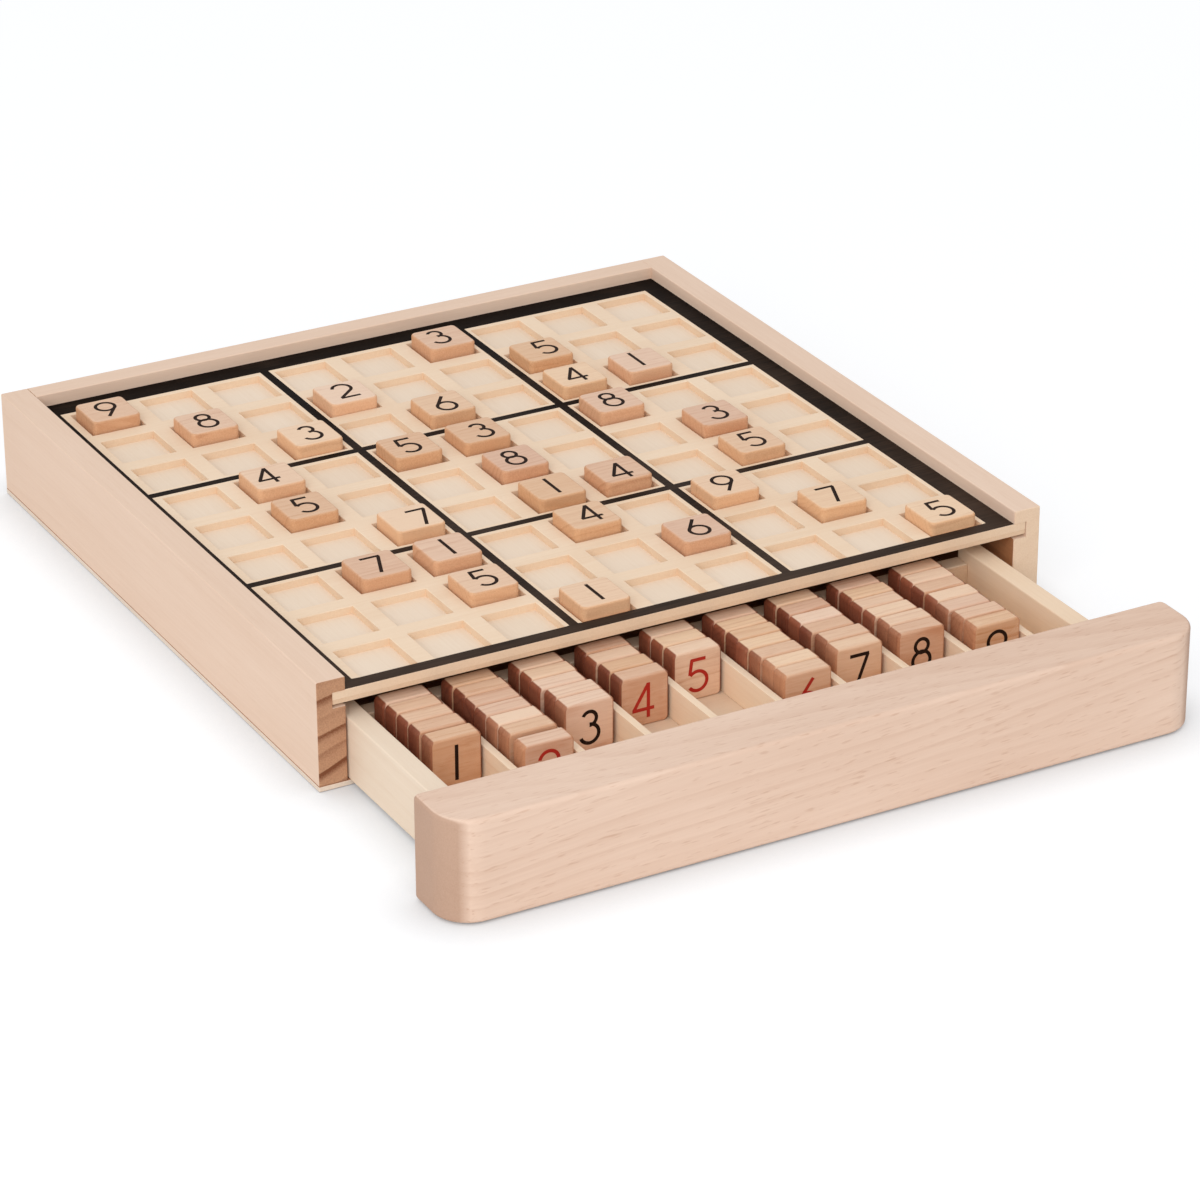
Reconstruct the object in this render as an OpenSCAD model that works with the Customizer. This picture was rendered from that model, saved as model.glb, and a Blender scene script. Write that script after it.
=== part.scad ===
// Wooden puzzle box: a board with nine by nine square recesses, number tiles and a tile drawer.
// Millimetres. +X runs right along the front, +Y to the back, +Z up.
// The origin is the centre of the footprint of the rails, on the bottom face of the base plate.

/* [Tiles] */
// Side of a square tile
tile_w = 16; // [15:0.1:17]
// Thickness of a tile
tile_t = 6.4; // [6:0.05:7.2]
// Chamfer that breaks every edge of a tile
tile_edge = 0.8; // [0.3:0.05:1.2]
// Air between two tiles of a row in the drawer
row_gap = 0.28; // [0.06:0.01:0.5]

/* [Board] */
// Play of a tile in its recess, both sides together
cell_play = 1.9; // [1:0.05:2.4]
// Width of a rib between two recesses
rib_w = 5.68; // [5.2:0.02:7]
// Thickness of the lattice sheet, which is the depth of a recess
lattice_t = 2.5; // [1.6:0.1:3]
// Thickness of the backing sheet
backing_t = 1.5; // [1.4:0.1:3]
// Board from its left rail to the first recess
left_border = 7.1; // [6:0.1:10]
// Board from the last recess to its right rail
right_border = 8.36; // [6:0.02:11]
// Board from its front edge to the first recess
front_border = 4.9; // [4:0.1:8]
// Board from the last recess to its back rail
back_border = 10.1; // [7:0.1:13]
// Board's front edge behind the rails' front ends
front_inset = 0.25; // [0.1:0.05:1]

/* [Frame] */
// Thickness of each side rail
side_rail_t = 9; // [8:0.1:12]
// Thickness of the back rail
back_rail_t = 7.5; // [6.5:0.1:11]
// Rails' top above the board
rail_rise = 4.1; // [3:0.1:7]
// Depth of the board's groove in the rails
groove_depth = 4.2; // [3:0.1:5]
// Air between the board's edge and the groove's end
groove_end_air = 0.2; // [0.1:0.05:0.4]
// Air between the board and the groove's lower face
groove_low_air = 1; // [0.3:0.1:1.5]
// Thickness of the base plate
base_t = 1.6; // [1.5:0.1:5]

/* [Drawer] */
// Drawer drawn out of the box
drawer_open = 65.8; // [20:0.2:67]
// Thickness of the drawer front
front_t = 21.8; // [21:0.1:26]
// Radius of the two front corners of the drawer front
front_corner_r = 11; // [6:0.5:18]
// Radius of the two back corners of the drawer front
rear_corner_r = 2; // [1:0.1:2.5]
// Each end of the drawer front past the side of the box
front_overhang = 1; // [0.4:0.1:2]
// Drawer front's top below the rails' top
front_drop = 2.5; // [2:0.1:8]
// Drawer front's bottom above the surface that the box stands on
front_lift = 0.3; // [0.1:0.1:2]
// Thickness of a drawer side
drawer_side_t = 6.4; // [5:0.1:7]
// Height of a drawer side
drawer_side_h = 19.5; // [16:0.25:21]
// Air between the left drawer side and the left rail
drawer_left_air = 0.6; // [0.4:0.1:3]
// Air between the right drawer side and the right rail
drawer_right_air = 5.8; // [3:0.1:6.5]
// Thickness of the drawer back
drawer_back_t = 6; // [4:0.1:9]
// Thickness of the drawer bottom
drawer_bottom_t = 2.5; // [2:0.1:4]
// Air between the drawer bottom and the base plate
bottom_air = 3; // [0.3:0.1:4]
// Drawer bottom's edge in the groove of a drawer side
bottom_tongue = 3; // [1.5:0.1:4]
// Air between the drawer bottom's edge and the end of its groove
bottom_end_air = 0.2; // [0.1:0.05:0.4]
// Air above the tiles in the drawer, up to the board
head_air = 3.1; // [2:0.1:8]

/* [Dividers] */
// Thickness of a divider
divider_t = 2.5; // [2:0.1:3]
// Height of a divider above the drawer bottom
divider_h = 10.5; // [6:0.1:13]
// Play of a tile in its bay, both sides together
bay_play = 2.7; // [2:0.05:3]
// Extra width of the first bay at the left
first_bay_extra = 3.15; // [1:0.05:4]
// Length left free in a bay that holds its nine tiles
finger_room = 11.6; // [8:0.1:20]

/* [Hidden] */
$fn = 64;
cells = 9;
cut = 1;
beech = [0.88, 0.75, 0.65];
ply = [0.93, 0.84, 0.72];
pale = [0.90, 0.80, 0.68];
tile_colour = [0.87, 0.70, 0.55];

// Board
cell_w = tile_w + cell_play;
pitch = cell_w + rib_w;
grid = cells * pitch - rib_w;
inner_w = left_border + grid + right_border;
board_t = lattice_t + backing_t;
tongue = groove_depth - groove_end_air;

// Box
box_w = inner_w + 2 * side_rail_t;
box_d = front_inset + front_border + grid + back_border + back_rail_t;
box_front = -box_d / 2;
box_back = box_d / 2;
rail_x = inner_w / 2;
back_face = box_back - back_rail_t;
board_x0 = -rail_x - tongue;
board_x1 = rail_x + tongue;
board_y0 = box_front + front_inset;
board_y1 = back_face + tongue;
grid_x0 = -rail_x + left_border;
grid_y0 = board_y0 + front_border;

// Levels
floor_z = base_t + bottom_air + drawer_bottom_t;
board_z = floor_z + tile_w + head_air;
recess_z = board_z + backing_t;
board_top = recess_z + lattice_t;
box_h = board_top + rail_rise;
groove_h = groove_low_air + board_t;

// Drawer
front_w = box_w + 2 * front_overhang;
front_rear = box_front - drawer_open;
front_face = front_rear - front_t;
front_top = box_h - front_drop;
drawer_x = rail_x - (drawer_left_air + drawer_right_air) / 2 - drawer_side_t;
drawer_mid = (drawer_left_air - drawer_right_air) / 2;
drawer_x0 = drawer_mid - drawer_x;
drawer_x1 = drawer_mid + drawer_x;
bay_len = cells * (tile_t + row_gap) + finger_room;
bay_end = front_rear + bay_len;
drawer_rear = bay_end + drawer_back_t;
drawer_top = base_t + drawer_side_h;
bay_w = tile_w + bay_play;
bay_pitch = bay_w + divider_t;

// Low and high edge of rib k of the lattice, counted from the first border to the last one
function rib_lo(k, start, first) = k == 0 ? start : first + k * pitch - rib_w;
function rib_hi(k, end, first) = k == cells ? end : first + k * pitch;
function rib_x0(k) = rib_lo(k, board_x0, grid_x0);
function rib_x1(k) = rib_hi(k, board_x1, grid_x0);
function rib_y0(k) = rib_lo(k, board_y0, grid_y0);
function rib_y1(k) = rib_hi(k, board_y1, grid_y0);

// Left face of divider n, counted from 1 at the left
function divider_x(n) = drawer_x0 + first_bay_extra + n * bay_w + (n - 1) * divider_t;

// Middle of the tiles in bay n
function bay_x(n) = divider_x(n) - bay_w / 2;

// How far loose tiles lie off their middle, as a share of their play
function stray_x(row, col) = -0.12 + 0.2 * sin(97 * row + 53 * col);
function stray_y(row, col) = -0.1 + 0.25 * sin(61 * row + 131 * col);
function stray_row(n, i, count) = (i > count - 2 ? 0.17 : -0.1) + 0.1 * sin(141 * i + 67 * n);

// A box from its low corner to its high corner
module block(low, high) {
  translate(low)
    cube(high - low);
}

// Base plate, thin plywood glued under the three rails and flush with them
module base_plate() {
  color(ply)
    block([-box_w / 2, box_front, 0], [box_w / 2, box_back, base_t]);
}

// Board's groove in the right rail, open at the rail's front end
module side_groove() {
  block(
    [rail_x - cut, box_front - cut, board_top - groove_h],
    [rail_x + groove_depth, board_y1 + groove_end_air, board_top]
  );
}

// Right rail, solid wood on the base plate, grooved inside for the board
module right_rail() {
  color(beech)
    difference() {
      block([rail_x, box_front, base_t], [box_w / 2, box_back, box_h]);
      side_groove();
    }
}

// Left rail, the same piece turned over
module left_rail() {
  color(beech)
    mirror([1, 0, 0])
      difference() {
        block([rail_x, box_front, base_t], [box_w / 2, box_back, box_h]);
        side_groove();
      }
}

// Back rail, glued between the side rails, with the groove for the board's back edge
module back_rail() {
  color(beech)
    difference() {
      block([-rail_x, back_face, base_t], [rail_x, box_back, box_h]);
      block(
        [-rail_x - cut, back_face - cut, board_top - groove_h],
        [rail_x + cut, back_face + groove_depth, board_top]
      );
    }
}

// Backing sheet of the board, the floor of every recess, held in the grooves
module board_backing() {
  color(pale)
    block([board_x0, board_y0, board_z], [board_x1, board_y1, recess_z]);
}

// Ribs along X, halved from above where the cross ribs lie over them
module lattice_long_ribs() {
  color(ply)
    for (k = [0:cells])
      difference() {
        block([board_x0, rib_y0(k), recess_z], [board_x1, rib_y1(k), board_top]);
        for (j = [0:cells])
          block(
            [rib_x0(j) - (j == 0 ? cut : 0), rib_y0(k) - cut, recess_z + lattice_t / 2],
            [rib_x1(j) + (j == cells ? cut : 0), rib_y1(k) + cut, board_top + cut]
          );
      }
}

// Ribs along Y, halved from below where they cross the long ribs
module lattice_cross_ribs() {
  color(ply)
    for (j = [0:cells])
      difference() {
        block([rib_x0(j), board_y0, recess_z], [rib_x1(j), board_y1, board_top]);
        for (k = [0:cells])
          block(
            [rib_x0(j) - cut, rib_y0(k) - (k == 0 ? cut : 0), recess_z - cut],
            [rib_x1(j) + cut, rib_y1(k) + (k == cells ? cut : 0), recess_z + lattice_t / 2]
          );
      }
}

// Waste outside a round corner, with the corner at the origin and the piece at +X and +Y
module corner_waste(r) {
  difference() {
    translate([-cut, -cut])
      square(r + cut);
    translate([r, r])
      circle(r);
  }
}

// Outline of the drawer front from above, front corners wide and back corners small
module front_outline() {
  side = front_w / 2;
  difference() {
    translate([-side, front_face])
      square([front_w, front_t]);
    for (s = [0, 1])
      mirror([s, 0]) {
        translate([-side, front_face])
          corner_waste(front_corner_r);
        translate([-side, front_rear])
          mirror([0, 1])
            corner_waste(rear_corner_r);
      }
  }
}

// Drawer front, one thick solid board that closes the box
module drawer_front() {
  color(beech)
    translate([drawer_mid, 0, front_lift])
      linear_extrude(front_top - front_lift)
        front_outline();
}

// Right drawer side, runs on the base plate, grooved inside for the drawer bottom
module drawer_right_side() {
  color(pale)
    difference() {
      block([drawer_x1, front_rear, base_t], [drawer_x1 + drawer_side_t, drawer_rear, drawer_top]);
      block(
        [drawer_x1 - cut, front_rear - cut, base_t + bottom_air],
        [drawer_x1 + bottom_tongue + bottom_end_air, drawer_rear + cut, floor_z]
      );
    }
}

// Left drawer side, mirrored about the middle of the drawer
module drawer_left_side() {
  translate([2 * drawer_mid, 0, 0])
    mirror([1, 0, 0])
      drawer_right_side();
}

// Drawer bottom, thin sheet in the grooves of the drawer sides
module drawer_bottom() {
  color(pale)
    block(
      [drawer_x0 - bottom_tongue, front_rear, base_t + bottom_air],
      [drawer_x1 + bottom_tongue, drawer_rear, floor_z]
    );
}

// Drawer back, as high as the dividers, stops the rows of tiles
module drawer_back() {
  color(pale)
    block([drawer_x0, bay_end, floor_z], [drawer_x1, drawer_rear, floor_z + divider_h]);
}

// One divider between two bays, on the drawer bottom from the drawer front to the drawer back
module divider(n) {
  color(pale)
    block(
      [divider_x(n), front_rear, floor_z],
      [divider_x(n) + divider_t, bay_end, floor_z + divider_h]
    );
}

module divider_1() { divider(1); }
module divider_2() { divider(2); }
module divider_3() { divider(3); }
module divider_4() { divider(4); }
module divider_5() { divider(5); }
module divider_6() { divider(6); }
module divider_7() { divider(7); }
module divider_8() { divider(8); }
module divider_9() { divider(9); }

// Square bar about Z whose corners lie on the axes, for chamfers
module diamond(reach) {
  rotate([0, 0, 45])
    cube([reach * sqrt(2), reach * sqrt(2), 4 * tile_w], center = true);
}

// One tile, lying flat about the origin, every edge chamfered
module tile() {
  color(tile_colour)
    intersection() {
      cube([tile_w, tile_w, tile_t], center = true);
      diamond(tile_w - tile_edge);
      rotate([90, 0, 0])
        diamond((tile_w + tile_t) / 2 - tile_edge);
      rotate([0, 90, 0])
        diamond((tile_w + tile_t) / 2 - tile_edge);
    }
}

// A tile in the recess of a row, counted from the back, and a column, counted from the left
module board_tile(row, col) {
  translate([
    grid_x0 + (col - 1) * pitch + cell_w / 2 + stray_x(row, col) * cell_play,
    grid_y0 + (cells - row) * pitch + cell_w / 2 + stray_y(row, col) * cell_play,
    recess_z + tile_t / 2
  ])
    tile();
}

// A row of tiles standing on edge in bay n, pushed to the drawer back, the front one a little apart
module tile_row(n, count, apart = 0) {
  for (i = [1:count])
    translate([
      bay_x(n) + stray_row(n, i, count) * bay_play,
      bay_end - row_gap - (i - 0.5) * tile_t - (i - 1) * row_gap - (i == count ? apart : 0),
      floor_z + tile_w / 2
    ])
      rotate([90, 0, 0])
        tile();
}

module tile_row_1() { tile_row(1, 5, 0.5); }
module tile_row_2() { tile_row(2, 7, 1.9); }
module tile_row_3() { tile_row(3, 5); }
module tile_row_4() { tile_row(4, 4); }
module tile_row_5() { tile_row(5, 3); }
module tile_row_6() { tile_row(6, 7); }
module tile_row_7() { tile_row(7, 6); }
module tile_row_8() { tile_row(8, 6); }
module tile_row_9() { tile_row(9, 7); }

module tile_r1_c1() { board_tile(1, 1); }
module tile_r1_c6() { board_tile(1, 6); }
module tile_r2_c2() { board_tile(2, 2); }
module tile_r2_c4() { board_tile(2, 4); }
module tile_r2_c7() { board_tile(2, 7); }
module tile_r3_c3() { board_tile(3, 3); }
module tile_r3_c5() { board_tile(3, 5); }
module tile_r3_c7() { board_tile(3, 7); }
module tile_r3_c8() { board_tile(3, 8); }
module tile_r4_c2() { board_tile(4, 2); }
module tile_r4_c4() { board_tile(4, 4); }
module tile_r4_c5() { board_tile(4, 5); }
module tile_r4_c7() { board_tile(4, 7); }
module tile_r5_c2() { board_tile(5, 2); }
module tile_r5_c5() { board_tile(5, 5); }
module tile_r5_c8() { board_tile(5, 8); }
module tile_r6_c3() { board_tile(6, 3); }
module tile_r6_c5() { board_tile(6, 5); }
module tile_r6_c6() { board_tile(6, 6); }
module tile_r6_c8() { board_tile(6, 8); }
module tile_r7_c2() { board_tile(7, 2); }
module tile_r7_c3() { board_tile(7, 3); }
module tile_r7_c5() { board_tile(7, 5); }
module tile_r7_c7() { board_tile(7, 7); }
module tile_r8_c3() { board_tile(8, 3); }
module tile_r8_c6() { board_tile(8, 6); }
module tile_r8_c8() { board_tile(8, 8); }
module tile_r9_c4() { board_tile(9, 4); }
module tile_r9_c9() { board_tile(9, 9); }

base_plate();
left_rail();
right_rail();
back_rail();
board_backing();
lattice_long_ribs();
lattice_cross_ribs();
drawer_front();
drawer_left_side();
drawer_right_side();
drawer_back();
drawer_bottom();
divider_1();
divider_2();
divider_3();
divider_4();
divider_5();
divider_6();
divider_7();
divider_8();
divider_9();
tile_row_1();
tile_row_2();
tile_row_3();
tile_row_4();
tile_row_5();
tile_row_6();
tile_row_7();
tile_row_8();
tile_row_9();
tile_r1_c1();
tile_r1_c6();
tile_r2_c2();
tile_r2_c4();
tile_r2_c7();
tile_r3_c3();
tile_r3_c5();
tile_r3_c7();
tile_r3_c8();
tile_r4_c2();
tile_r4_c4();
tile_r4_c5();
tile_r4_c7();
tile_r5_c2();
tile_r5_c5();
tile_r5_c8();
tile_r6_c3();
tile_r6_c5();
tile_r6_c6();
tile_r6_c8();
tile_r7_c2();
tile_r7_c3();
tile_r7_c5();
tile_r7_c7();
tile_r8_c3();
tile_r8_c6();
tile_r8_c8();
tile_r9_c4();
tile_r9_c9();
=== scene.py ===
import math

import bmesh
import bpy
from mathutils import Matrix, Quaternion, Vector


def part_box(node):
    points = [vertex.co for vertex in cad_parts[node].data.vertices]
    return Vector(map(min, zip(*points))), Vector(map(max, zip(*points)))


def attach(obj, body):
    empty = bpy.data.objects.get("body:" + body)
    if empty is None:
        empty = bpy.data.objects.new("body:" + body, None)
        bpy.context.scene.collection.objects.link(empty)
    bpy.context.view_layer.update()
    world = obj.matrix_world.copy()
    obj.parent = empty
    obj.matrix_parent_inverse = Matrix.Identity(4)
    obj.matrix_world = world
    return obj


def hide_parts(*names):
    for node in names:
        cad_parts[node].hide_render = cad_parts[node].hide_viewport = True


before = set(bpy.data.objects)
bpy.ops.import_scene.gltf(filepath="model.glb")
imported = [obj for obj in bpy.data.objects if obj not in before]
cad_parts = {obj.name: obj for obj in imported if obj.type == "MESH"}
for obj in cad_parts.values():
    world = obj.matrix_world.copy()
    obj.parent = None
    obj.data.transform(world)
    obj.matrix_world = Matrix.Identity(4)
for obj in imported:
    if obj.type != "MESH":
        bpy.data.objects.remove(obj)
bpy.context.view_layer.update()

# Base plate: a thin sheet of plywood under the whole box, sawn square and sanded, its faces coloured
# dark brown as painted shade of the box's inside. The three rails are glued on top of it, and its pale
# edge shows as a line along their feet.
MM = 0.001
PER_MM = (1 / MM, 1 / MM, 1 / MM)
PLATE_EASE = 0.15 * MM
SHARP_FROM = math.radians(40)

# Marks in wood: how short they are along X, Y and Z, how many there are to a mm, and their detail.
WANDER = ((0.3, 1, 1), 0.022)
FIBRE = ((0.03, 1, 1), 1.3, 4.0)
DASH = ((0.12, 1, 1), 1.5, 1.0)
CLOUD = ((0.3, 1, 1), 0.03, 3.0)
PORE = ((1, 1, 1), 2.2, 3.0)
# How strongly fibres and pores change the tone about its mean, and where dashes and cut faces begin.
FIBRE_TONE, PORE_TONE, MEAN_TONE = 0.4, 0.7, 0.2
DASH_FROM, DASH_SHARP, CUT_FROM, CUT_SHARP = 0.62, 9, 0.4, 4
WOOD_GLOSS, WOOD_ROUGH, FIBRE_ROUGH, RING_SMOOTH = 0.2, 0.5, 0.16, 0.06
FIBRE_BUMP, FIBRE_DEEP = 0.25, 0.05 * MM
# The tone through one year's ring, from pale early wood to dark late wood.
YEAR = ((0.0, 0.0), (0.5, 0.1), (0.86, 1.0), (0.94, 0.9), (1.0, 0.0))
WEAKEST_YEAR = 0.15


def tint(red, green, blue):
    """A colour as it is seen, 0 to 255 for each part, made linear by the sRGB curve for a shader."""
    parts = [c / 255 for c in (red, green, blue)]
    return (*(c / 12.92 if c <= 0.04045 else ((c + 0.055) / 1.055) ** 2.4 for c in parts), 1.0)


class Wire:
    """An output of a finish's nodes. An expression on wires adds its Math nodes."""

    def __init__(self, tree, socket=None):
        self.tree, self.socket = tree, socket

    def add(self, kind, settings=(), inputs=(), output=0):
        """The wire from a new node of any kind, its settings made before its inputs."""
        node = self.tree.nodes.new("ShaderNode" + kind)
        for name, value in dict(settings).items():
            if name == "stops":
                stops = node.color_ramp.elements
                while len(stops) < len(value):
                    stops.new(0.5)
                for stop, (position, grey) in zip(stops, value):
                    stop.position, stop.color = position, (grey, grey, grey, 1.0)
            else:
                setattr(node, name, value)
        for name, value in dict(inputs).items():
            if isinstance(value, Wire):
                value.into(node.inputs[name])
            else:
                node.inputs[name].default_value = value
        return Wire(self.tree, node.outputs[output])

    def into(self, socket):
        self.tree.links.new(self.socket, socket)

    def math(self, operation, *values):
        return self.add("Math", {"operation": operation}, enumerate(values))

    def __add__(self, other):
        return self.math("ADD", self, other)

    def __sub__(self, other):
        return self.math("SUBTRACT", self, other)

    def __rsub__(self, other):
        return self.math("SUBTRACT", other, self)

    def __mul__(self, other):
        return self.math("MULTIPLY", self, other)

    def __truediv__(self, other):
        return self.math("DIVIDE", self, other)

    def __pow__(self, other):
        return self.math("POWER", self, other)

    def __abs__(self):
        return self.math("ABSOLUTE", self)

    __radd__, __rmul__ = __add__, __mul__

    def clip(self):
        return self.add("Clamp", (), {0: self})

    def parts(self):
        """The three numbers of a vector."""
        node = self.add("SeparateXYZ", (), {0: self}).socket.node
        return [Wire(self.tree, plug) for plug in node.outputs]

    def noise(self, stretch, scale, detail=2.0):
        """Noise at this place, from 0 to 1, drawn out along the axes of low stretch."""
        place = self.add("VectorMath", {"operation": "MULTIPLY"}, {0: self, 1: stretch})
        return self.add("TexNoise", (), {"Vector": place, "Scale": scale, "Detail": detail})

    def chance(self):
        """A random number from 0 to 1, the same wherever this wire is the same."""
        return self.add("TexWhiteNoise", {"noise_dimensions": "1D"}, {"W": self})

    def blend(self, first, second):
        """The first colour where this wire is 0, the second where it is 1."""
        return self.add("Mix", {"data_type": "RGBA"}, {0: self, 6: first, 7: second}, 2)

    def emboss(self, shader, strength, deep):
        """Shows this wire as a fine relief of a shader's surface."""
        bump = self.add("Bump", (), {"Strength": strength, "Distance": deep, "Height": self})
        bump.into(shader.inputs["Normal"])


def new_finish(name, gloss):
    """An empty finish, its shader, and a wire that its nodes start from."""
    finish = bpy.data.materials.new(name)
    finish.use_nodes = True
    shader = finish.node_tree.nodes["Principled BSDF"]
    shader.inputs["Specular IOR Level"].default_value = gloss
    return finish, shader, Wire(finish.node_tree)


def growth_rings(reach, ring):
    """Dark late wood at the end of each year's ring, some years stronger than others."""
    years = reach / ring
    year = years.math("FLOOR", years)
    late = years.add("ValToRGB", {"stops": YEAR}, {0: years - year})
    return late * (WEAKEST_YEAR + (1 - WEAKEST_YEAR) * year.chance() ** 2)


def wood(
    name, grain, pale, dark, sawn, heart, ring, line=0.2, fleck=0.1, end=0.3, cloudy=0.6, sway=7.0,
    lean=0.0, sheet=False, shift=0.0,
):
    """Bare sanded wood cut from a log: rings about the heart, fibres along the grain.

    Sizes are in mm. heart is where the log's middle lies beside the grain, sawn the pale and the dark
    colour of the cut ends, or of all the edges of a sheet, and lean the grain's rise in degrees. line,
    fleck, end and cloudy say how strongly rings, short dashes, rings on cut ends and soft patches show.
    sway is how far the rings stray, and shift where along the log the piece was cut."""
    finish, shader, start = new_finish(name, WOOD_GLOSS)
    turn = (0.0, math.radians(lean), 0.0) if grain == "X" else (0.0, 0.0, math.radians(-90))
    spot = start.add(
        "Mapping",
        {"vector_type": "POINT"},
        {
            "Vector": start.add("TexCoord", output="Object"),
            "Location": (shift, 0.0, 0.0),
            "Rotation": turn,
            "Scale": PER_MM,
        },
    )
    across, up = spot.parts()[1:]
    wander = (spot.noise(*WANDER) - 0.5) * (2 * sway)
    reach = ((across - heart[0]) ** 2 + (up - heart[1]) ** 2) ** 0.5 + wander
    figure = growth_rings(reach, ring)
    fibre = spot.noise(*FIBRE)
    dash = ((spot.noise(*DASH) - DASH_FROM) * DASH_SHARP).clip()
    patches = (spot.noise(*CLOUD) - 0.5) * cloudy
    shade = (figure * line + dash * fleck + (fibre - 0.5) * FIBRE_TONE + patches + MEAN_TONE).clip()

    facing = (0, 0, 1) if sheet else {"X": (1, 0, 0), "Y": (0, 1, 0)}[grain]
    normal = start.add("TexCoord", output="Normal")
    square_on = abs(start.add("VectorMath", {"operation": "DOT_PRODUCT"}, {0: normal, 1: facing}, 1))
    cut = 1 - square_on if sheet else square_on
    cut_face = ((cut - CUT_FROM) * CUT_SHARP).clip()
    pores = spot.noise(*PORE)
    cut_shade = (figure * end + (pores - 0.5) * PORE_TONE + patches + MEAN_TONE).clip()

    colour = cut_face.blend(shade.blend(pale, dark), cut_shade.blend(*sawn))
    colour.into(shader.inputs["Base Color"])
    (WOOD_ROUGH + fibre * FIBRE_ROUGH - figure * RING_SMOOTH).into(shader.inputs["Roughness"])
    fibre.emboss(shader, FIBRE_BUMP, FIBRE_DEEP)
    return finish


def add_block(bm, low, high):
    """Adds a block between two corners and gives its eight corners."""
    place = Matrix.Translation((low + high) / 2) @ Matrix.Diagonal((*(high - low), 1.0))
    return bmesh.ops.create_cube(bm, size=1.0, matrix=place)["verts"]


def ease(bm, edges, offset, segments=3):
    """Rounds edges of a mesh."""
    bmesh.ops.bevel(
        bm, geom=edges, offset=offset, segments=segments, profile=0.5, affect="EDGES", material=-1
    )


def eased_block(low, high, offset, segments=3):
    """A block between two corners with all its edges eased round."""
    bm = bmesh.new()
    add_block(bm, low, high)
    ease(bm, bm.edges[:], offset, segments)
    return bm


def make_piece(name, bm, *finishes):
    """The finished mesh as an object at the origin, smooth over its eased edges."""
    mesh = bpy.data.meshes.new(name)
    bm.to_mesh(mesh)
    bm.free()
    for finish in finishes:
        mesh.materials.append(finish)
    mesh.shade_smooth()
    mesh.set_sharp_from_angle(angle=SHARP_FROM)
    piece = bpy.data.objects.new(name, mesh)
    bpy.context.scene.collection.objects.link(piece)
    flats = piece.modifiers.new("flat_faces_stay_flat", "WEIGHTED_NORMAL")
    flats.keep_sharp = True
    return piece


# Painted shade: the plate's broad faces are dark brown so that the box's inside looks dark; its sawn edges
# stay pale.
plate_ply = wood(
    "plate_plywood_painted_shade", "X", tint(190, 140, 108), tint(150, 98, 72),
    sawn=(tint(236, 221, 205), tint(212, 191, 172)),
    heart=(20, -300), ring=9.0, line=0.35, sheet=True,
)
plate = make_piece("base_plate_sheet", eased_block(*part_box("base_plate"), PLATE_EASE), plate_ply)
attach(plate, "box")
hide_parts("base_plate")

# Side rails: two solid beech bars that stand on the base plate. A groove is milled along the inner
# face of each for the board, open at the front end, where the end grain shows. Under the groove
# the inner face is dark brown: painted shade of the box's inside under the board.
RAIL_EASE, GROOVE_DEEP, GROOVE_AIR, GROOVE_END_AIR = 0.4 * MM, 4.2 * MM, 1.0 * MM, 0.2 * MM
backing_low, backing_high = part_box("board_backing")
lattice_low, lattice_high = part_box("lattice_cross_ribs")
GROOVE_LOW, GROOVE_HIGH = backing_low.z - GROOVE_AIR, lattice_high.z
GROOVE_STOP = backing_high.y + GROOVE_END_AIR
X, Y, Z = 0, 1, 2
# Two lengths closer than a hair are one, and faces that turn less than this lie flat.
HAIR, HAIR_PLACES, FLAT = 1e-7, 7, 0.001
QUARTER = math.radians(90)
SANDED, INSIDE_SHADE = 0, 1


def meets(a, b):
    """Whether two lengths are the same but for rounding."""
    return abs(a - b) < HAIR


def each_once(elements):
    """Elements of a mesh in their order, each once."""
    return list(dict.fromkeys(elements))


def add_panel(bm, centre, width, length, turn=Matrix()):
    """Adds one flat face about a centre, level until it is turned, and gives its corners."""
    place = Matrix.Translation(centre) @ turn @ Matrix.Diagonal((width, length, 1.0, 1.0))
    return bmesh.ops.create_grid(bm, x_segments=1, y_segments=1, size=0.5, matrix=place)["verts"]


def cut_through(bm, axis, *places):
    """Cuts all the faces of a mesh along planes that stand square to an axis."""
    across = Vector([k == axis for k in range(3)])
    for place in places:
        whole = bm.verts[:] + bm.edges[:] + bm.faces[:]
        bmesh.ops.bisect_plane(bm, geom=whole, plane_co=across * place, plane_no=across)


def draw_out(bm, faces, axis, place, keep=True):
    """Draws faces out along an axis to a place, closed behind if they are kept, and gives their ends."""
    region = faces + each_once(e for f in faces for e in f.edges)
    made = bmesh.ops.extrude_face_region(bm, geom=region, use_keep_orig=keep)["geom"]
    ends = [element for element in made if isinstance(element, bmesh.types.BMFace)]
    for v in each_once(v for f in ends for v in f.verts):
        v.co[axis] = place
    return ends


def join_flats(bm):
    """Turns all faces of a mesh outwards and joins those that lie flat beside each other."""
    bmesh.ops.recalc_face_normals(bm, faces=bm.faces[:])
    bmesh.ops.dissolve_limit(
        bm, angle_limit=FLAT, use_dissolve_boundaries=False, verts=bm.verts[:], edges=bm.edges[:]
    )


def outline_edges(bm, low, high):
    """The edges of a mesh that lie on the twelve edges of the box between two corners."""

    def sides(edge):
        planes = [(k, corner[k]) for k in range(3) for corner in (low, high)]
        return sum(all(meets(v.co[k], side) for v in edge.verts) for k, side in planes)

    return [edge for edge in bm.edges if sides(edge) > 1]


def in_groove(face, axis, mouth, floor):
    """Whether a face of a bar's section lies in its groove, between the groove's mouth and its floor."""
    centre = face.calc_center_median()
    return GROOVE_LOW < centre.z < GROOVE_HIGH and abs(centre[axis] - mouth) < abs(floor - mouth)


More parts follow.
